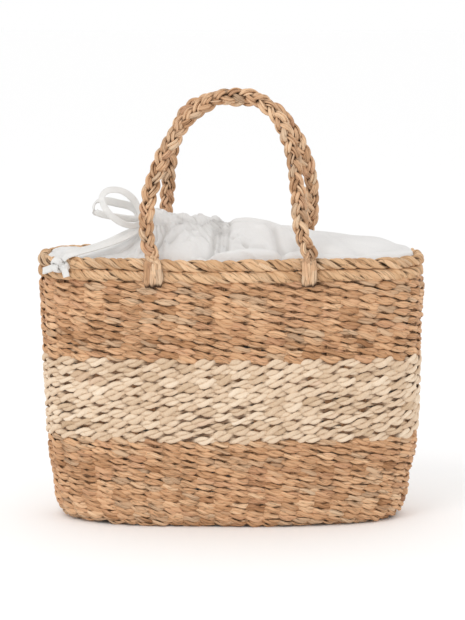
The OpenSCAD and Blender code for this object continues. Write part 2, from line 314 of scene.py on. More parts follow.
def lengths_along(line):
    """Distance along a line of points, from its first point."""
    return np.concatenate([[0], np.cumsum(np.linalg.norm(np.diff(line, axis=0), axis=1))])


def run_of(line, closed):
    """The direction of a line at each of its points."""
    return unit(np.roll(line, -1, 0) - np.roll(line, 1, 0)) if closed else unit(np.gradient(line, axis=0))


def tube_faces(count, sides, closed, distance, walk):
    """Quads of a tube, and the UVs of their corners from the distances along it and round it."""
    i = np.arange(count if closed else count - 1)[:, None]
    j = np.arange(sides)[None, :]
    i2, j2 = (i + 1) % count, (j + 1) % sides
    quads = np.stack(np.broadcast_arrays(i * sides + j, i2 * sides + j, i2 * sides + j2, i * sides + j2),
                     -1).reshape(-1, 4)
    u0, u1 = distance[i], distance[i + 1]
    v0, v1 = walk[j], walk[j + 1]
    uv = np.stack([np.stack(np.broadcast_arrays(u, v), -1)
                   for u, v in ((u0, v0), (u1, v0), (u1, v1), (u0, v1))], 2).reshape(-1, 2)
    return quads, uv


def swept(centre, out, wide, deep, sides, closed, leaf, dark):
    """One strand as arrays: (vertices, quads, uv per quad corner, leaf values per vertex).

    centre, out: one point and one outward vector a ring. wide and deep are the half sizes of the
    cross-section across the strand and outwards. leaf holds tone, tint and shade, one a ring. dark
    gives how much light reaches each vertex, from its place and from how far it faces outwards.
    """
    n = len(centre)
    run = run_of(centre, closed)
    distance = lengths_along(np.vstack([centre, centre[:1]]))
    out = unit(out - (out * run).sum(1, keepdims=True) * run)
    across = np.cross(run, out)
    angle = PI + 2 * PI * np.arange(sides) / sides
    vertices = (centre[:, None, :]
                + (deep[:, None] * np.cos(angle))[..., None] * out[:, None, :]
                + (wide[:, None] * np.sin(angle))[..., None] * across[:, None, :])
    quads, uv = tube_faces(n, sides, closed, distance, np.arange(sides + 1) / sides)
    uv[:, 0] *= MM
    leaf = np.repeat(np.asarray(leaf, float), sides, axis=0)
    leaf[:, 2] *= np.broadcast_to(dark(vertices, np.cos(angle)), (n, sides)).reshape(-1)
    return vertices.reshape(-1, 3), quads, uv, leaf, (n, sides, closed)


def outer_side_lit(vertices, facing):
    """Light on a strand that lies among others: only its outer side is lit."""
    return smooth_step(facing, -0.7, 0.25)[None, :]


def rope_lit(vertices, facing):
    """Light on a strand of a rope: all but the side that lies against the other strand."""
    return smooth_step(facing, -0.85, -0.05)[None, :]


def strand_object(name, strands, material, body, shift_texture=True):
    """One mesh object from swept strands, riding on a body (or on none, for a piece that blends)."""
    vertices, faces, uvs, leaves = [], [], [], []
    start = 0
    for number, (points, quads, uv, leaf, (n, sides, closed)) in enumerate(strands):
        faces += (quads + start).tolist()
        if shift_texture:
            uv = uv + np.array([0.37 * number + 0.013 * start, 0.19 * number])
        uvs.append(uv)
        if not closed:
            first = [start + k for k in range(sides)][::-1]
            last = [start + (n - 1) * sides + k for k in range(sides)]
            faces += [first, last]
            uvs += [np.tile(uv[0], (sides, 1)), np.tile(uv[-1], (sides, 1))]
        vertices.append(points)
        leaves.append(leaf)
        start += len(points)
    vertices = np.concatenate(vertices)
    vertices[:, 2] = np.maximum(vertices[:, 2], FLOOR_CLEARANCE)
    mesh = bpy.data.meshes.new(name)
    mesh.from_pydata((vertices * MM).tolist(), [], faces)
    layer = mesh.uv_layers.new(name="strand")
    layer.data.foreach_set("uv", np.concatenate(uvs).astype(np.float32).ravel())
    colour = mesh.color_attributes.new("leaf", "FLOAT_COLOR", "POINT")
    rgba = np.ones((start, 4), np.float32)
    rgba[:, :3] = np.concatenate(leaves)
    colour.data.foreach_set("color", rgba.ravel())
    mesh.polygons.foreach_set("use_smooth", np.ones(len(mesh.polygons), bool))
    mesh.materials.append(material)
    piece = bpy.data.objects.new(name, mesh)
    bpy.context.scene.collection.objects.link(piece)
    if body:
        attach(piece, body)
    return piece


# ---------------------------------------------------------------- the basket's outline

RIM_A, RIM_B, BODY_H = 213.0, 88.0, 301.0
FLARE_X, FLARE_Y = 10.0, 6.0
CORNER_H, CORNER_X, CORNER_Y = 44.0, 22.0, 14.0
BASE_A, BASE_B = RIM_A - FLARE_X - CORNER_X, RIM_B - FLARE_Y - CORNER_Y
PALE_BOTTOM, PALE_TOP, BORDER_BOTTOM = 99.0, 188.5, 276.0
STAKE_COUNT = 50


def squareness(z):
    return 2.5 + 0.5 * z / BODY_H


def wall_a(z, inset):
    return RIM_A - inset - FLARE_X * (BODY_H - z) / (BODY_H - CORNER_H)


def wall_b(z, inset):
    return RIM_B - inset - FLARE_Y * (BODY_H - z) / (BODY_H - CORNER_H)


def outline(a, b, n, q):
    """Points of a superellipse in directions q, in radians."""
    reach = ((np.abs(np.cos(q)) / a) ** n + (np.abs(np.sin(q)) / b) ** n) ** (-1 / n)
    return np.stack([reach * np.cos(q), reach * np.sin(q)], -1)


def even_directions(a, b, n, count):
    """Directions that stand an even distance apart round a superellipse, with its length."""
    q = np.linspace(0, 2 * PI, 4001)
    walk = lengths_along(outline(a, b, n, q))
    return np.interp(np.arange(count) / count * walk[-1], walk, q), walk[-1]


class Ring:
    """A level ring of the wall: its points, its outward normals and its upward vectors."""

    def __init__(self, z, a, b, n, slope, count):
        """slope is (outwards, upwards): the way up along the wall in an upright section."""
        q, self.length = even_directions(a, b, n, count)
        flat = outline(a, b, n, q)
        self.points = np.column_stack([flat, np.full(count, z)])
        run = unit(np.roll(self.points, -1, 0) - np.roll(self.points, 1, 0))
        level = np.column_stack([run[:, 1], -run[:, 0], np.zeros(count)])
        rise, up = slope
        size = math.hypot(rise, up)
        self.up = (level * rise + np.array([0, 0, up])) / size
        self.out = (level * up - np.array([0, 0, rise])) / size


def wall_ring(z, inset, count):
    lean = (FLARE_X + FLARE_Y) / 2 / (BODY_H - CORNER_H)
    return Ring(z, wall_a(z, inset), wall_b(z, inset), squareness(z), (lean, 1), count)


def corner_ring(turn, inset, count):
    """A ring on the rounded bottom corner, turn from 0 at the floor to a quarter turn at the wall."""
    z = inset + (CORNER_H - inset) * (1 - math.cos(turn))
    return Ring(z, BASE_A + (CORNER_X - inset) * math.sin(turn), BASE_B + (CORNER_Y - inset) * math.sin(turn),
                squareness(z), ((CORNER_X + CORNER_Y) / 2 * math.cos(turn), CORNER_H * math.sin(turn)), count)


def corner_turns(steps=200):
    """Angle on the bottom corner against distance up its section, for evenly spaced rows."""
    turn = np.linspace(0, PI / 2, steps)
    section = np.column_stack([(CORNER_X + CORNER_Y) / 2 * np.sin(turn), CORNER_H * (1 - np.cos(turn))])
    return lengths_along(section), turn


# ---------------------------------------------------------------- woven rows

ROW_RINGS = 480
STAKE_INSET = 4.6


def swell(ring, z):
    """Moves a ring of the wall outwards: between corner and border the weave bellies, most at the ends."""
    much = smooth_step(z, 44, 82) * (1 - smooth_step(z, 262, 284))
    side = ring.points[:, 0] / np.hypot(ring.points[:, 0], ring.points[:, 1])
    size = much * (2.6 + 2.4 * np.abs(side) + 1.2 * side)
    ring.points[:, :2] += size[:, None] * ring.out[:, :2]
    return ring


LOWER_ROWS, PALE_ROWS, UPPER_ROWS = 28, 17, 21
BASE_STEP, BASE_ROWS, BASE_Z = 4.6, 13, 3.4
BASE_FRONT_STEP = 42


def wave_field(seed, harmonics, amplitude):
    """A slow closed wave round the basket that drifts a little from row to row."""
    rng = np.random.default_rng(seed)
    waves = [(k, rng.normal(), rng.uniform(0, 2 * PI), rng.normal() * 0.12) for k in harmonics]

    def value(share, row):
        total = sum(size * np.sin(2 * PI * k * share + phase + drift * row)
                    for k, size, phase, drift in waves)
        return amplitude * total / math.sqrt(len(waves))
    return value


row_wave = wave_field(11, range(1, 7), 0.9)
bulge_wave = wave_field(12, range(2, 9), 0.7)


def visit_values(phase, rng, spread, low=None, high=None):
    """A random value for each visit of a strand to the outside or inside, eased between visits."""
    visit = phase / PI
    count = int(round(visit.max())) + 2
    table = rng.normal(0, spread, count + 4)
    base = np.floor(visit).astype(int)
    t = visit - base
    t = t * t * (3 - 2 * t)
    values = table[base % len(table)] * (1 - t) + table[(base + 1) % len(table)] * t
    if low is not None:
        values = np.clip(values, low, high)
    return values


def front_steps(phase, rng):
    """A random value from 0 to 1 for each time the strand comes to the front, steady while it shows."""
    front = np.floor(phase / (2 * PI) + 0.5).astype(int)
    return rng.uniform(0, 1, front.max() + 2)[front]


def slow_wave(share, rng, harmonic):
    return np.sin(2 * PI * (harmonic * share + rng.uniform()))


def bundle(line, out, wide, deep, sides, closed, leaf, roll, rng, parts=2, spread=0.42, part_size=0.79,
           uneven=0.12, dark=outer_side_lit):
    """A strand as two or three leaves or plies that lie side by side and turn round each other."""
    run = run_of(line, closed)
    out = unit(out - (out * run).sum(1, keepdims=True) * run)
    across = np.cross(run, out)
    strands = []
    for part in range(parts):
        angle = roll + 2 * PI * part / parts
        share = 1 + uneven * rng.normal()
        flat = ((wide * spread * np.cos(angle))[:, None] * across
                + (deep * spread * np.sin(angle))[:, None] * out)
        size = share * part_size
        own = leaf + np.array([0.09 * rng.normal(), 0.1 * rng.normal(), 0])
        strands.append(swept(line + flat, out, wide * size, deep * (0.5 + 0.5 * size), sides, closed,
                             own, dark))
    return strands


class Weft:
    """What one kind of weft is like: heights are shares of the distance between rows."""

    def __init__(self, material, slot, front, half_way, deep, turns, slant, spread, part_size, uneven, proud):
        self.material, self.slot = material, slot
        self.front, self.half_way, self.deep = front, half_way, deep
        self.turns, self.slant = turns, slant
        self.spread, self.part_size, self.uneven = spread, part_size, uneven
        self.proud = proud


SEAGRASS_WEFT = Weft(SEAGRASS, "seagrass", front=1.02, half_way=0.82, deep=2.3, turns=-27, slant=0.9,
                     spread=0.46, part_size=0.62, uneven=0.14, proud=0.0)
JUTE_WEFT = Weft(JUTE, "jute", front=1.02, half_way=0.82, deep=2.9, turns=31, slant=-0.6,
                 spread=0.52, part_size=0.55, uneven=0.03, proud=0.6)


def woven_row(weft, ring, row, pitch, name, replaced, fronts=STAKE_COUNT // 2, swing=(2.2, 1.8), level=1.0):
    """One row of weft: a strand that goes in front of one stake and behind the next."""
    rng = np.random.default_rng(100 + row)
    share = np.arange(ROW_RINGS) / ROW_RINGS
    wobble = (0.2 * slow_wave(share, rng, 3) + 0.15 * slow_wave(share, rng, 7)
              + 0.12 * slow_wave(share, rng, 13))
    phase = 2 * PI * fronts * share + PI * (row % 2) + wobble + 4 * PI
    outwards = np.cos(phase)
    size = 1 + visit_values(phase, rng, 0.15, -0.28, 0.3)
    rise = 0.08 * pitch * visit_values(phase, rng, 1.0, -2, 2)
    front = smooth_step(outwards, -0.1, 0.85)
    wide = pitch * (weft.half_way + (weft.front - weft.half_way) * front) * size
    deep = weft.deep * (0.72 + 0.28 * smooth_step(outwards, -0.8, 0.6)) * (0.6 + 0.4 * size)
    push = np.where(outwards > 0, swing[0], swing[1]) * outwards + 0.3 * visit_values(phase, rng, 1.0)
    line = (ring.points + level * row_wave(share, row)[:, None] * ring.up
            + (level * bulge_wave(share, row) + push + weft.proud)[:, None] * ring.out
            + (rise - weft.slant * np.sin(phase))[:, None] * ring.up)
    tone = (0.5 + 0.06 * rng.normal() + 0.44 * (front_steps(phase, rng) - 0.5)
            + 0.07 * slow_wave(share, rng, 5))
    tint = 0.7 * front_steps(phase, rng) + 0.15 + 0.15 * slow_wave(share, rng, 4)
    shade = 0.2 + 0.8 * smooth_step(outwards, -0.8, 0.1)
    leaf = np.column_stack([tone, tint, shade])
    roll = 2 * PI * weft.turns * share + 0.4 * visit_values(phase, rng, 1.0, -1.6, 1.6) + rng.uniform(0, PI)
    strands = bundle(line, ring.out, wide, deep, 7, True, leaf, roll, rng, 2,
                     weft.spread, weft.part_size, weft.uneven)
    piece = strand_object(name, strands, weft.material, "basket")
    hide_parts(*replaced)


def weave_base():
    """Rows round the base, from the outside inwards. Their front faces the floor."""
    for row in range(BASE_ROWS):
        inset = BASE_STEP * (row + 0.5) - 1.2
        ring = Ring(BASE_Z, BASE_A - inset, BASE_B - inset, squareness(0) - 0.3, (1, 0), ROW_RINGS)
        fronts = round(ring.length / BASE_FRONT_STEP)
        woven_row(SEAGRASS_WEFT, ring, row, BASE_STEP, f"base_row_{row + 1:02d}", ["base_weave"], fronts,
                  swing=(0.5, 0.4), level=0.2)


def weave_base_centre():
    """The two innermost rows, which run straight along the middle of the base."""
    rng = np.random.default_rng(141)
    half = BASE_A - BASE_STEP * BASE_ROWS
    x = np.linspace(-half - 4, half + 4, 170)
    strands = []
    for side in (-1, 1):
        phase = 2 * PI * x / BASE_FRONT_STEP + PI * (side > 0) + 20 * PI
        outwards = np.cos(phase)
        wide = BASE_STEP * (0.95 + 0.2 * smooth_step(outwards, -0.1, 0.85))
        line = np.column_stack([x, side * 2.4 + 0.4 * np.sin(phase), BASE_Z - 0.45 * outwards])
        tone = 0.5 + 0.44 * (front_steps(phase, rng) - 0.5)
        tint = 0.7 * front_steps(phase, rng) + 0.15
        # painted shade: the third value darkens the strand where it dips away from the outer face
        leaf = np.column_stack([tone, tint, 0.2 + 0.8 * smooth_step(outwards, -0.8, 0.1)])
        roll = 2 * PI * x / 34 + visit_values(phase, rng, 0.4)
        down = np.tile([0, 0, -1.0], (len(x), 1))
        strands += bundle(line, down, wide, np.full(len(x), 2.0), 7, False, leaf, roll, rng, 2,
                          SEAGRASS_WEFT.spread, SEAGRASS_WEFT.part_size, SEAGRASS_WEFT.uneven)
    piece = strand_object("base_centre_rows", strands, SEAGRASS, "basket")
    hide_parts("base_weave")


def weave_walls():
    """Lower, pale and upper rows, from the floor up."""
    distance, turn = corner_turns()
    total = distance[-1] + PALE_BOTTOM - CORNER_H
    pitch = total / LOWER_ROWS
    for i in range(LOWER_ROWS):
        place = pitch * (i + 0.5)
        if place < distance[-1]:
            ring = corner_ring(float(np.interp(place, distance, turn)), STAKE_INSET, ROW_RINGS)
        else:
            z = CORNER_H + place - distance[-1]
            ring = swell(wall_ring(z, STAKE_INSET, ROW_RINGS), z)
        woven_row(SEAGRASS_WEFT, ring, 20 + i, pitch, f"lower_row_{i + 1:02d}", ["lower_band"])
    pitch = (PALE_TOP - PALE_BOTTOM) / PALE_ROWS
    for i in range(PALE_ROWS):
        z = PALE_BOTTOM + pitch * (i + 0.5)
        ring = swell(wall_ring(z, STAKE_INSET, ROW_RINGS), z)
        woven_row(JUTE_WEFT, ring, 20 + LOWER_ROWS + i, pitch, f"pale_row_{i + 1:02d}", ["pale_band"])
    pitch = (BORDER_BOTTOM - PALE_TOP) / UPPER_ROWS
    for i in range(UPPER_ROWS):
        z = PALE_TOP + pitch * (i + 0.5)
        ring = swell(wall_ring(z, STAKE_INSET, ROW_RINGS), z)
        woven_row(SEAGRASS_WEFT, ring, 20 + LOWER_ROWS + PALE_ROWS + i, pitch, f"upper_row_{i + 1:02d}",
                  ["upper_band"])


def upright_stakes():
    """Stakes of four thin reeds side by side, from the bottom corner to the border."""
    reeds, reed_r, reed_step = 4, 1.0, 1.85
    fine = STAKE_COUNT * 24
    rings = [corner_ring(t, STAKE_INSET, fine) for t in np.linspace(0.35, PI / 2, 7)[:-1]]
    rings += [swell(wall_ring(z, STAKE_INSET, fine), z) for z in np.linspace(CORNER_H, BORDER_BOTTOM + 4, 26)]
    rng = np.random.default_rng(31)
    strands = []
    for k in range(STAKE_COUNT):
        for reed in range(reeds):
            aside = (reed - (reeds - 1) / 2) * reed_step
            centre, out = [], []
            for ring in rings:
                at = (24 * k + aside / ring.length * fine) % fine
                low, part = int(at), at - int(at)
                centre.append(ring.points[low] * (1 - part) + ring.points[(low + 1) % fine] * part)
                out.append(ring.out[low])
            count = len(rings)
            leaf = np.tile([rng.uniform(0.3, 0.75), rng.uniform(0.2, 0.7), 1.0], (count, 1))
            size = np.full(count, reed_r) * rng.uniform(0.85, 1.1)
            strands.append(swept(np.array(centre), np.array(out), size, size, 6, False, leaf, outer_side_lit))
    piece = strand_object("upright_stakes", strands, STAKE_GRASS, "basket")
    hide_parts("wall_stakes")


# ---------------------------------------------------------------- rope border

ROPE_H, ROPE_INSET = 12.5, 2.5
ROPE_TURNS = 30


def border_rope(row, name, node):
    """Two thick strands laid into a rope that runs round the rim."""
    rng = np.random.default_rng(50 + row)
    count = 640
    z = BORDER_BOTTOM + (row + 0.5) * ROPE_H
    ring = Ring(z, wall_a(z, ROPE_INSET), wall_b(z, ROPE_INSET), squareness(z), (0, 1), count)
    share = np.arange(count) / count
    helix, flatten = 2.9, 0.75
    strands = []
    for k in range(2):
        wobble = 0.35 * slow_wave(share, rng, 5) + 0.25 * slow_wave(share, rng, 11)
        turn = -2 * PI * ROPE_TURNS * share - PI * k - wobble + 0.9 * row
        phase = -turn + 4 * PI
        size = 1 + visit_values(phase, rng, 0.11, -0.2, 0.22)
        centre = (ring.points + row_wave(share, 40)[:, None] * ring.up * 0.8
                  + (flatten * helix * np.cos(turn))[:, None] * ring.out
                  + (helix * np.sin(turn))[:, None] * ring.up)
        out = np.cos(turn)[:, None] * ring.out + np.sin(turn)[:, None] * ring.up
        tone = 0.5 + 0.4 * (front_steps(phase, rng) - 0.5) + 0.1 * slow_wave(share, rng, 6)
        tint = 0.6 * front_steps(phase, rng) + 0.2
        leaf = np.column_stack([tone, tint, np.ones(count)])
        roll = 0.7 * phase + visit_values(phase, rng, 0.6)
        strands += bundle(centre, out, 5.4 * size, 3.3 * size, 8, True, leaf, roll, rng, 3, 0.5, 0.6, 0.16,
                          rope_lit)
    piece = strand_object(name, strands, BORDER_GRASS, "basket")
    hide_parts(node)


# ---------------------------------------------------------------- plaited handles

HANDLE_SPAN, FOOT_Y, AXIS_Z = 170.0, 93.3, 310.5
FRONT_SQUARENESS, BACK_SQUARENESS = 2.2, 2.7
ARCH_BEND, FRONT_TOP_SHIFT = 10, 6
HANDLE_LEAN = math.radians(9.5)
BRAID_PITCH = 42.0


def arch(t, rise, sway):
    """Middle line of a handle in its own plane: (along X, up from the swing axis), t from 0 to 1.

    sway is 1 for the front handle, which leans over at its top, and -1 for the back handle.
    """
    power = 2 / (FRONT_SQUARENESS if sway > 0 else BACK_SQUARENESS)
    up = np.maximum(np.sin(PI * t), 0) ** power
    across = np.sign(np.cos(PI * t)) * np.abs(np.cos(PI * t)) ** power
    x = -HANDLE_SPAN / 2 * across - sway * ARCH_BEND * np.sin(PI * up ** 0.6)
    if sway > 0:
        x = x + FRONT_TOP_SHIFT * up
    return np.column_stack([x, rise * up])


def plaited_handle(name, side_y, rise, nodes):
    """Three fat strands plaited into a flat braid, whose ends lie flat over both rope rows."""
    rng = np.random.default_rng(70 + side_y)
    foot_length, step = 39.0, 1.4
    fine = arch(np.linspace(0, 1, 4001), rise, -side_y)
    walk = lengths_along(fine)
    total = walk[-1]
    s = np.arange(-foot_length, total + foot_length, step)
    inside = np.clip(s, 0, total)
    plane = np.column_stack([np.interp(inside, walk, fine[:, 0]), np.interp(inside, walk, fine[:, 1])])
    below = np.maximum(np.maximum(-s, s - total), 0)
    up_vector = np.array([0, -side_y * math.sin(HANDLE_LEAN), math.cos(HANDLE_LEAN)])
    flat_vector = np.array([0, side_y * math.cos(HANDLE_LEAN), math.sin(HANDLE_LEAN)])
    x_vector = np.array([1.0, 0, 0])
    base = (plane[:, :1] * x_vector + plane[:, 1:] * up_vector + np.array([0, side_y * FOOT_Y, AXIS_Z])
            - below[:, None] * np.array([0, 0, 1.0]))
    down_foot = np.column_stack([np.zeros(len(s)), np.where(s < 0, 1, np.where(s > total, -1, 0))])
    run = unit(np.gradient(plane, axis=0) + down_foot)
    across = -run[:, 1:] * x_vector + run[:, :1] * up_vector
    foot = smooth_step(below, 4, 13)
    tuck = smooth_step(below, foot_length - 8, foot_length)
    flat = unit(flat_vector * (1 - foot[:, None]) + np.array([0, side_y, 0.0]) * foot[:, None])
    side = np.where(s < total / 2, -1, 1)

    def lit(vertices, facing):
        """Light on the braid: dark towards its core, where strands cross under each other."""
        away = vertices - base[:, None, :]
        sideways = (away * across[:, None, :]).sum(2) / 7.6
        depth = (away * flat[:, None, :]).sum(2) / 5.4
        core = smooth_step(np.hypot(sideways, depth), 0.3, 0.84)
        on_foot = smooth_step(depth, -0.5, 0.2)
        return core * (1 - foot[:, None]) + on_foot * foot[:, None]

    strands = []
    for k in range(3):
        phase = 2 * PI * (s / BRAID_PITCH + k / 3) + 0.15 * np.sin(s / 31 + k) + 40 * PI
        size = 1 + visit_values(phase, rng, 0.1, -0.2, 0.2)
        fan = (k - 1) * (5.7 + np.where(side < 0, 1.0, -1.8) * smooth_step(below, 10, 30))
        swing, dip = 4.7 * np.sin(phase), 2.9 * np.sin(2 * phase)
        sideways = swing * (1 - foot) + fan * side * foot + 0.5 * visit_values(phase, rng, 1.0)
        depth = dip * (1 - foot) + (0.5 * rng.normal()) * foot - 5.5 * tuck
        centre = base + sideways[:, None] * across + depth[:, None] * flat
        tone = 0.5 + 0.44 * (front_steps(phase * 2, rng) - 0.5) + 0.08 * np.sin(s / 23 + 2 * k) + 0.1 * foot
        tint = 0.75 * front_steps(phase * 2, rng) + 0.1
        leaf = np.column_stack([tone, tint, np.ones(len(s))])
        wide = (4.1 + 0.9 * foot) * size * (1 - 0.3 * tuck)
        deep = (3.0 - 0.2 * foot) * size
        roll = 0.35 * phase * (1 - 0.7 * foot) + visit_values(phase, rng, 0.8)
        strands += bundle(centre, flat, wide, deep, 8, False, leaf, roll, rng, 3, 0.58 - 0.2 * foot,
                          0.5 + 0.08 * foot, 0.24, lit)
    piece = strand_object(name, strands, HANDLE_GRASS, None)
    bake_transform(piece)
    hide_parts(*nodes)


# ---------------------------------------------------------------- drawstring

UPPER_LOOP = [[-101, -39, 347], [-104, -38, 356], [-110, -39, 365], [-120, -41, 372], [-130, -44, 374],
              [-138, -47, 372], [-142, -50, 366], [-140, -53, 358], [-135, -55, 350], [-127, -56, 342.5],
              [-117, -55, 337], [-108, -52, 335], [-101, -49, 336.5]]
LOWER_LOOP = [[-101, -33, 342], [-105, -30, 350], [-114, -28, 355], [-125, -28, 357.5], [-136, -29, 360],
              [-146, -31, 360], [-151.5, -35, 356.5], [-150.5, -39, 349.5], [-141, -41, 346],
              [-123, -42, 343], [-110, -42, 341.5], [-101, -42, 341.5]]
FRONT_TAIL = [[-101, -46, 331], [-108, -49, 326.5], [-118, -53, 321], [-133, -57, 315.5], [-146, -60, 311.5],
              [-158, -62, 308], [-169, -65, 305.5], [-179, -70, 303], [-184, -73, 299]]
BACK_TAIL = [[-101, -38, 333], [-109, -41, 329], [-121, -44, 324], [-135, -48, 318], [-149, -52, 313],
             [-163, -55, 309.5], [-175, -58, 307], [-184, -63, 304], [-189, -67, 299]]
BOW_AT = np.array([-96.0, -42.0, 342.5])
END_KNOT_AT = np.array([-188.0, -70.0, 292.0])
TAPE_W, TAPE_T = 7.0, 1.5


def smooth_line(route, per_span=8):
    """A smooth line through a route's points."""
    p = np.array(route, float)
    n = len(p) - 1
    line = []
    for i in range(n):
        a, b, c, d = p[max(i - 1, 0)], p[i], p[i + 1], p[min(i + 2, n)]
        for t in np.arange(per_span) / per_span:
            line.append(0.5 * (2 * b + (c - a) * t + (2 * a - 5 * b + 4 * c - d) * t ** 2
                               + (3 * b - a - 3 * c + d) * t ** 3))
    line.append(p[-1])
    return np.array(line)


def tape_strand(line, faces, width=TAPE_W, thick=TAPE_T, closed=False, cup=0.5):
    """Flat woven tape along a line. faces lists the way its flat side looks, spread along the line."""
    count = len(line)
    faces = np.array(faces, float)
    at = np.linspace(0, len(faces) - 1, count)
    look = np.column_stack([np.interp(at, np.arange(len(faces)), faces[:, i]) for i in range(3)])
    run = run_of(line, closed)
    look = unit(look - (look * run).sum(1, keepdims=True) * run)
    across = np.cross(run, look)
    half = width / 2
    outline_points = [(-1, 0), (-0.92, 0.8), (-0.5, 1.0), (0, 1.05), (0.5, 1.0), (0.92, 0.8),
                      (1, 0), (0.92, -0.8), (0.5, -1.0), (0, -1.05), (-0.5, -1.0), (-0.92, -0.8)]
    sides = len(outline_points)
    section = np.array(outline_points)
    bend_in = cup * (section[:, 0] ** 2 - 0.5)
    vertices = (line[:, None, :] + (section[:, 0] * half)[None, :, None] * across[:, None, :]
                + (section[:, 1] * thick / 2 + bend_in)[None, :, None] * look[:, None, :])
    edge = section * [half, thick / 2]
    quads, uv = tube_faces(count, sides, closed, lengths_along(np.vstack([line, line[:1]])),
                           lengths_along(np.vstack([edge, edge[:1]])))
    leaf = np.tile([0.5, 0.5, 1.0], (count * sides, 1))
    return vertices.reshape(-1, 3), quads, uv * MM, leaf, (count, sides, closed)


def tape_object(name, strands):
    piece = strand_object(name, strands, TAPE, "basket", shift_texture=False)
    piece.data.uv_layers["strand"].name = "cloth"
    return piece


def free_tape(name, route, faces, node, width=TAPE_W):
    line = smooth_line(route)
    piece = tape_object(name, [tape_strand(line, faces, width)])
    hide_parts(node)
    return piece


def knot_line(at, size, turn, count=96):
    """The closed line of an overhand knot pulled tight, turned about the Y axis."""
    t = 2 * PI * np.arange(count) / count
    x = (np.sin(t) + 2 * np.sin(2 * t)) / 3 * size[0]
    y = -np.sin(3 * t) * size[1]
    z = (np.cos(t) - 2 * np.cos(2 * t)) / 3 * size[2]
    c, s = math.cos(turn), math.sin(turn)
    return np.array(at) + np.column_stack([c * x - s * z, y, s * x + c * z])


def knot_strand(at, size, turn, width, thick):
    line = knot_line(at, size, turn)
    look = unit(line - np.array(at)) + np.array([0, -0.5, 0.2])
    return tape_strand(line, look, width, thick, closed=True, cup=0.2)


def drawstring():
    free_tape("bow_loop_high", UPPER_LOOP, [(-0.6, -0.8, 0.6), (-0.3, -0.9, 0.7), (-0.5, -0.9, 0.1),
                                            (-0.2, -1.0, -0.3), (0.1, -0.9, -0.6)],
              "bow_loop_upper", width=8)
    free_tape("bow_loop_low", LOWER_LOOP, [(-0.1, -1.0, 0.45), (-0.2, -1.0, 0.3), (-0.9, -0.5, 0.2),
                                           (-0.1, 1.0, 0.5), (0.1, 1.0, 0.6)],
              "bow_loop_lower", width=9)
    knot = tape_object("bow_knot_tape", [
        knot_strand(BOW_AT + [2, 0, 1], (7.5, 4.0, 7.0), 0.5, 6.0, 2.6),
        tape_strand(smooth_line([[-100, -42, 341], [-95, -39, 340], [-90, -35, 339], [-84, -31, 338]]),
                    [(0, -1, 0.3), (0.2, -1, 0.6)], 6.5, 2.4)])
    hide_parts("bow_knot")
    end_knot = tape_object("end_knot_tape", [
        knot_strand(END_KNOT_AT + [0, 0, 1], (9.0, 4.4, 6.8), -0.35, 7.4, 3.4),
        tape_strand(smooth_line([[-187, -70, 291], [-195, -65, 290], [-202, -59, 287], [-207, -55, 285]]),
                    [(0, -1, 0.3), (-0.3, -1, 0.5)], 8.0, 3.0),
        tape_strand(smooth_line([[-187, -71, 294], [-183, -74, 290], [-181, -76, 285], [-180, -76, 281]]),
                    [(0, -1, 0.3), (0.3, -1, 0.0)], 7.4, 2.8)])
    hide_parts("drawstring_end_knot")
    free_tape("tail_front", FRONT_TAIL,
              [(0.2, -0.9, 0.4), (0.3, -0.7, 0.7), (0.1, -0.5, 0.9), (-0.3, -0.9, 0.4)],
              "drawstring_tail_front", width=6.5)
    free_tape("tail_back", BACK_TAIL,
              [(0.2, -0.9, 0.5), (0.2, -0.5, 0.9), (0.0, -0.6, 0.9), (-0.3, -0.8, 0.6)],
              "drawstring_tail_back", width=6.5)


# ---------------------------------------------------------------- liner

LINER_INSET, LINER_TOP = 8.0, 296.0
MOUTH = np.array([-50.0, -18.0, 337.0])
MOUTH_ALONG = np.array([0.93, 0.36, -0.07])
MOUTH_ACROSS = np.array([-0.36, 0.93, 0.0])
MOUTH_HALF_LEN, MOUTH_HALF_W = 37.0, 6.0
MOUTH_TURN = math.radians(21)
CASING_R = 4.4
PUFF_H = 13.0


def mouth_points(q, room):
    return (MOUTH + (MOUTH_HALF_LEN + room) * np.cos(q - MOUTH_TURN)[:, None] * MOUTH_ALONG
            + (MOUTH_HALF_W + room) * np.sin(q - MOUTH_TURN)[:, None] * MOUTH_ACROSS)


def fullness(q):
    """How much the cloth puffs up: full on the right, low on the left."""
    return (1 + np.cos(q - math.radians(30))) / 2


# Pillows of the drawn cloth in plan: (x, y, radius x, radius y, turn in degrees, height).
PILLOWS = [(-52, -54, 36, 22, 16, 16), (36, -30, 52, 30, -8, 19), (18, -71, 62, 12, 2, 10),
           (104, -14, 72, 48, 0, 12), (-96, -60, 28, 13, 20, 6), (-140, -30, 32, 32, 30, 4),
           (-16, 36, 50, 32, 10, 13), (60, 40, 58, 34, -10, 12), (-92, 32, 42, 28, -20, 7),
           (156, 6, 40, 46, 0, 9), (10, -44, 9, 6, -30, 15)]
# 0.5 gives domes with steep edges, 1 gives domes that run out softly.
PILLOW_ROUND = 0.95
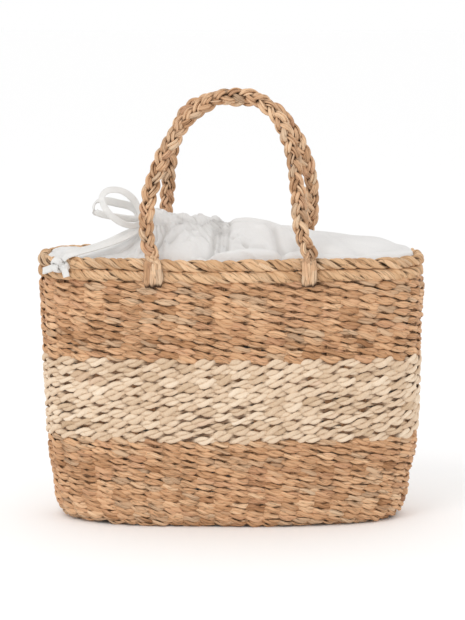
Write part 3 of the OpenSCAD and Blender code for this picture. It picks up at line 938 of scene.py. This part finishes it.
# Sunk folds in plan: (from, to, depth, half width).
FOLDS = [((-18, -24), (-19, -64), 6.5, 3.0), ((-12, -20), (-14, -68), 5, 2.0),
         ((-7, -24), (-10, -58), 3.5, 1.6), ((-1, -16), (-6, -62), 5.5, 2.4),
         ((-30, -38), (-22, -50), 2.5, 2.5), ((48, -34), (60, -82), 6.5, 6),
         ((-12, -62), (-26, -72), 6, 4), ((-10, -62), (36, -59), 6, 3.0),
         ((112, -20), (150, -66), 2.5, 9), ((-84, -44), (-112, -66), 5, 4),
         ((-72, -40), (-94, -74), 4, 3), ((-78, -2), (-112, 40), 4, 5), ((10, 12), (24, 66), 5, 6),
         ((86, -2), (140, 24), 2, 8), ((-80, -50), (-57, -35), 2.4, 2.0),
         ((-67, -54), (-41, -34), 2.6, 2.2), ((-52, -56), (-29, -37), 2.2, 2.0),
         ((2, -38), (18, -52), 6, 2.4), ((-50, 14), (-60, 64), 5, 5)]


def modelled_folds(x, y):
    """Height of the pillows and folds that have a place of their own."""
    pillows = []
    for number, (px, py, rx, ry, turn, height) in enumerate(PILLOWS):
        c, s = math.cos(math.radians(turn)), math.sin(math.radians(turn))
        along, across = ((x - px) * c + (y - py) * s) / rx, ((y - py) * c - (x - px) * s) / ry
        round_it = np.arctan2(across, along)
        uneven = 1 + 0.17 * np.sin(2 * round_it + 1.7 * number) + 0.12 * np.sin(3 * round_it + 2.9 * number) \
            + 0.07 * np.sin(5 * round_it + 4.1 * number)
        pillows.append(height * np.maximum(1 - (along ** 2 + across ** 2) * uneven, 0) ** PILLOW_ROUND)
    sharp = 2.4
    z = np.log(sum(np.exp(p / sharp) for p in pillows) - len(pillows) + 1) * sharp
    for (x0, y0), (x1, y1), depth, half_width in FOLDS:
        dx, dy = x1 - x0, y1 - y0
        t = np.clip(((x - x0) * dx + (y - y0) * dy) / (dx * dx + dy * dy), 0, 1)
        away = np.hypot(x - x0 - t * dx, y - y0 - t * dy)
        z -= depth * np.exp(-(away / half_width) ** 2)
    return z


def gathers(share, u, rng):
    """Sharp folds that start at the gathered mouth and die away towards the rim."""
    z = np.zeros_like(share * u)
    for count, size, start in ((11, 1.6, 0.3), (23, 1.5, 0.5), (41, 1.2, 0.68), (64, 0.7, 0.78)):
        strength = 0.55 + 0.45 * np.sin(2 * PI * (3 * share + rng.uniform())) \
            + 0.35 * np.sin(2 * PI * (7 * share + rng.uniform()))
        bend_away = 0.6 * np.sin(2 * PI * (4 * share + rng.uniform())) + 0.5 * u * rng.normal()
        fold = np.abs(np.cos(PI * count * share + bend_away)) ** 0.6 - 0.6
        z += 3.2 * size * np.maximum(strength, 0) * fold * smooth_step(u, start, 0.95)
    return z


def paint_hollows(mesh, shade):
    """Stores how much light reaches each point of a cloth."""
    rgba = np.ones((shade.size, 4), np.float32)
    rgba[:, 2] = shade.reshape(-1)
    layer = mesh.color_attributes.get("leaf") or mesh.color_attributes.new("leaf", "FLOAT_COLOR", "POINT")
    layer.data.foreach_set("color", rgba.ravel())


def hollow_shade(height, reach, depth, darkest):
    """Light in the hollows of a height grid: darker where a point lies below the ones around it."""
    rounded = height.copy()
    for _ in range(reach):
        rounded = (np.roll(rounded, 1, 1) + np.roll(rounded, -1, 1) + 2 * rounded) / 4
        rounded[1:-1] = (rounded[:-2] + rounded[2:] + 2 * rounded[1:-1]) / 4
    return 1 - darkest * smooth_step(rounded - height, 0.1 * depth, depth)


def grid_object(name, grid, material, body, shade=None):
    """A cloth mesh from rings of points: grid[ring][around], with UVs in metres along the cloth."""
    rings, around = grid.shape[:2]
    steps_u = np.linalg.norm(np.roll(grid, -1, 1) - grid, axis=2).mean(0)
    walk_u = np.concatenate([[0], np.cumsum(steps_u)]) * MM
    walk_v = np.concatenate([[0], np.cumsum(np.linalg.norm(np.diff(grid, axis=0), axis=2).mean(1))]) * MM
    i = np.arange(rings - 1)[:, None]
    j = np.arange(around)[None, :]
    j2 = (j + 1) % around
    quads = np.stack(np.broadcast_arrays(i * around + j, i * around + j2, (i + 1) * around + j2,
                                         (i + 1) * around + j), -1).reshape(-1, 4)
    uv = np.stack([np.stack(np.broadcast_arrays(a, b), -1) for a, b in (
        (walk_u[j], walk_v[i]), (walk_u[j + 1], walk_v[i]), (walk_u[j + 1], walk_v[i + 1]),
        (walk_u[j], walk_v[i + 1]))], 2).reshape(-1, 2)
    mesh = bpy.data.meshes.new(name)
    mesh.from_pydata((grid.reshape(-1, 3) * MM).tolist(), [], quads.tolist())
    mesh.uv_layers.new(name="cloth").data.foreach_set("uv", uv.astype(np.float32).ravel())
    paint_hollows(mesh, np.ones((rings, around)) if shade is None else shade)
    mesh.polygons.foreach_set("use_smooth", np.ones(len(mesh.polygons), bool))
    mesh.materials.append(material)
    piece = bpy.data.objects.new(name, mesh)
    bpy.context.scene.collection.objects.link(piece)
    if body:
        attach(piece, body)
    return piece


def apply_modifiers(piece):
    evaluated = piece.evaluated_get(bpy.context.evaluated_depsgraph_get())
    mesh = bpy.data.meshes.new_from_object(evaluated)
    piece.modifiers.clear()
    piece.data = mesh


def simulate_cloth(piece, pinned, frames, most):
    """Lets the cloth settle with its pinned points held, and caps how far any point moves."""
    group = piece.vertex_groups.new(name="pinned")
    group.add(pinned, 1.0, "REPLACE")
    rest = np.array([v.co for v in piece.data.vertices])
    cloth = piece.modifiers.new("cloth", "CLOTH")
    settings = cloth.settings
    settings.quality = 8
    settings.mass = 0.12
    settings.tension_stiffness = 12
    settings.compression_stiffness = 12
    settings.shear_stiffness = 4
    settings.bending_stiffness = 0.25
    settings.air_damping = 3
    settings.vertex_group_mass = "pinned"
    settings.shrink_min = -0.07
    settings.use_pressure = True
    settings.uniform_pressure_force = 0.6
    settings.effector_weights.gravity = 0.25
    cloth.collision_settings.use_collision = False
    cloth.point_cache.frame_start, cloth.point_cache.frame_end = 1, frames
    scene = bpy.context.scene
    for number in range(1, frames + 1):
        scene.frame_set(number)
    apply_modifiers(piece)
    scene.frame_set(1)
    moved = np.array([v.co for v in piece.data.vertices]) - rest
    far = np.linalg.norm(moved, axis=1, keepdims=True)
    moved *= np.minimum(1, most * MM / np.maximum(far, 1e-9))
    piece.data.vertices.foreach_set("co", (rest + moved).astype(np.float32).ravel())
    piece.data.update()
    piece.vertex_groups.clear()


def liner_collar():
    """The cloth between rim and mouth: simulated first, then given the folds that stay in place."""
    around, rings = 220, 26
    a, b = wall_a(LINER_TOP, LINER_INSET), wall_b(LINER_TOP, LINER_INSET)
    q, _ = even_directions(a, b, squareness(LINER_TOP), around)
    u = (np.linspace(0, 1, rings) ** 1.25)[:, None]
    edge = np.column_stack([outline(a, b, squareness(LINER_TOP), q), np.full(around, LINER_TOP + 0.5)])
    full = fullness(q)[None, :]
    lip = np.array([mouth_points(q, CASING_R * 0.8 + (1 - t) * 4) for t in u[:, 0]])
    grid = (1 - u)[..., None] * edge[None] + u[..., None] * lip
    reach = np.hypot(lip[0, :, 0] - edge[:, 0], lip[0, :, 1] - edge[:, 1])[None, :]
    rise = u ** (3 - 1.8 * full)
    lift = PUFF_H * (0.6 + 0.4 * full) * (1 - np.exp(-u * reach / 6)) * (1 - u)
    grid[..., 2] = (1 - rise) * edge[None, :, 2] + rise * lip[..., 2] + lift
    draft = grid_object("liner_top_draft", grid, COTTON, None)
    pinned = list(range(around)) + list(range(around * (rings - 1), around * rings))
    simulate_cloth(draft, pinned, 24, 4)
    grid = np.array([v.co for v in draft.data.vertices]).reshape(rings, around, 3) / MM
    bpy.data.objects.remove(draft)

    fine_around, fine_rings = 660, 66
    grid = np.fft.irfft(np.fft.rfft(grid, axis=1), n=fine_around, axis=1) * (fine_around / around)
    reach = np.interp(np.arange(fine_around) / fine_around, np.arange(around) / around, reach[0])[None, :]
    fine_u = np.linspace(0, 1, fine_rings) ** 1.25
    at = np.interp(fine_u, u[:, 0], np.arange(rings))
    low = np.minimum(at.astype(int), rings - 2)
    part = (at - low)[:, None, None]
    grid = grid[low] * (1 - part) + grid[low + 1] * part
    for _ in range(3):
        grid[1:-1] = (grid[:-2] + 2 * grid[1:-1] + grid[2:]) / 4
    u = fine_u[:, None]
    share = np.arange(fine_around)[None, :] / fine_around
    free = smooth_step(u * reach, 0, 9) * (1 - smooth_step(u, 0.9, 1))
    grid[..., 2] += modelled_folds(grid[..., 0], grid[..., 1]) * free
    grid[..., 2] += gathers(share, u, np.random.default_rng(91))
    shade = hollow_shade(grid[..., 2], 40, 3.6, 0.28) * (1 - 0.25 * smooth_step(u, 0.93, 1))
    piece = grid_object("liner_top_cloth", grid, COTTON, "basket", shade)
    hem = piece.modifiers.new("thickness", "SOLIDIFY")
    hem.thickness = 0.0005
    hem.offset = -1
    apply_modifiers(piece)
    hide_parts("liner_collar")


def casing_ruffle():
    """The gathered casing: a scrunched roll round the mouth, fullest beside the bow."""
    around, sides = 560, 26
    rng = np.random.default_rng(93)
    q = 2 * PI * np.arange(around) / around
    share = (q / (2 * PI))[:, None]
    turn = (2 * PI * np.arange(sides) / sides)[None, :]
    near_bow = (1 - np.cos(q - MOUTH_TURN)) / 2
    near_bow = (near_bow ** 5)[:, None]
    lumps = 1.3 * np.sin(2 * PI * 5 * share + turn + rng.uniform(0, 6)) \
        + 1.0 * np.sin(2 * PI * 9 * share - turn + rng.uniform(0, 6)) \
        + 0.5 * np.sin(2 * PI * 14 * share + 2 * turn + rng.uniform(0, 6))
    creases = np.zeros_like(lumps)
    for count, size, twist in ((13, 2.2, 2), (29, 1.2, 3), (47, 0.7, 1)):
        drift = (1.9 * np.sin(2 * PI * (2 * share + rng.uniform()))
                 + 1.3 * np.sin(2 * PI * (5 * share + rng.uniform())))
        deep_part = 0.65 + 0.35 * np.sin(2 * PI * (4 * share + rng.uniform()))
        wave = np.abs(np.sin(PI * count * share + twist * turn / 2 + drift))
        creases -= size * deep_part * (1 - wave ** 0.7)
    near_end = (((1 + np.cos(q - MOUTH_TURN)) / 2) ** 3)[:, None]
    radius = CASING_R + 2.6 + 2.6 * near_bow - 1.4 * near_end + 0.9 * lumps + creases
    centre = mouth_points(q, 0.0)
    away = unit(mouth_points(q, 1.0) - centre)
    height = radius * np.sin(turn) * 1.15 + 1.6 * near_bow - 1.0 * near_end
    points = (centre[:, None, :] + (radius * np.cos(turn))[..., None] * away[:, None, :]
              + height[..., None] * np.array([0, 0, 1.0]))
    grid = np.swapaxes(points, 0, 1)[::-1]
    lit = 1 - 0.35 * smooth_step(-np.swapaxes(creases, 0, 1)[::-1], 0.9, 2.6)
    piece = grid_object("casing_ruffle", np.concatenate([grid, grid[:1]]), COTTON, "basket",
                        np.concatenate([lit, lit[:1]]))
    smooth = piece.modifiers.new("smooth", "SUBSURF")
    smooth.levels = smooth.render_levels = 1
    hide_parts("drawstring_casing")


def liner_bag():
    """The bag inside: walls and floor, hanging in shallow soft folds, darkened all over with painted shade.
    """
    around = 220
    rings = [wall_ring(z, LINER_INSET, around) for z in np.linspace(LINER_TOP, CORNER_H, 22)]
    rings += [corner_ring(t, LINER_INSET, around) for t in np.linspace(PI / 2, 0.15, 8)[1:]]
    share = np.arange(around) / around
    rows = []
    for number, ring in enumerate(rings):
        depth = number / len(rings)
        wave = (0.8 * np.sin(2 * PI * (13 * share + 0.3 * depth))
                + 0.5 * np.sin(2 * PI * (29 * share + 0.6 * depth))
                + 0.5 * np.sin(2 * PI * (4 * share + 2 * depth)))
        rows.append(ring.points - ring.out * (1.6 + 0.7 * wave * smooth_step(depth, 0, 0.15))[:, None])
    floor_ring = rows[-1]
    for shrink in (0.85, 0.65, 0.45, 0.25, 0.08):
        points = floor_ring.copy()
        points[:, 0] = floor_ring[:, 0] - np.sign(floor_ring[:, 0]) * np.minimum(
            np.abs(floor_ring[:, 0]), 68 * (1 - shrink))
        points[:, 1] *= shrink
        points[:, 2] = LINER_INSET + 0.4 + 0.4 * np.sin(points[:, 0] / 17 + 3 * shrink)
        rows.append(points)
    rows = np.array(rows)
    # painted shade: the whole bag gets a light value of 0.4, so it shows dark through gaps in the weave
    piece = grid_object("liner_bag_cloth", rows, COTTON, "basket", np.full(rows.shape[:2], 0.4))
    smooth = piece.modifiers.new("smooth", "SUBSURF")
    smooth.levels = smooth.render_levels = 1
    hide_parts("liner_bag")


weave_base()
weave_base_centre()
weave_walls()
upright_stakes()
border_rope(0, "rope_lower", "border_rope_lower")
border_rope(1, "rope_upper", "border_rope_upper")
plaited_handle("front_handle_braid", -1, 171.0,
               ["handle_foot_front_left", "handle_foot_front_right",
                "front_handle_strand_1", "front_handle_strand_2", "front_handle_strand_3"])
plaited_handle("back_handle_braid", 1, 162.0,
               ["handle_foot_back_left", "handle_foot_back_right",
                "back_handle_strand_1", "back_handle_strand_2", "back_handle_strand_3"])
drawstring()

liner_bag()
liner_collar()
casing_ruffle()

for node, material in (("liner_stitches", STITCH_COTTON), ("base_stakes", STAKE_GRASS)):
    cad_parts[node].data.materials.clear()
    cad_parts[node].data.materials.append(material)
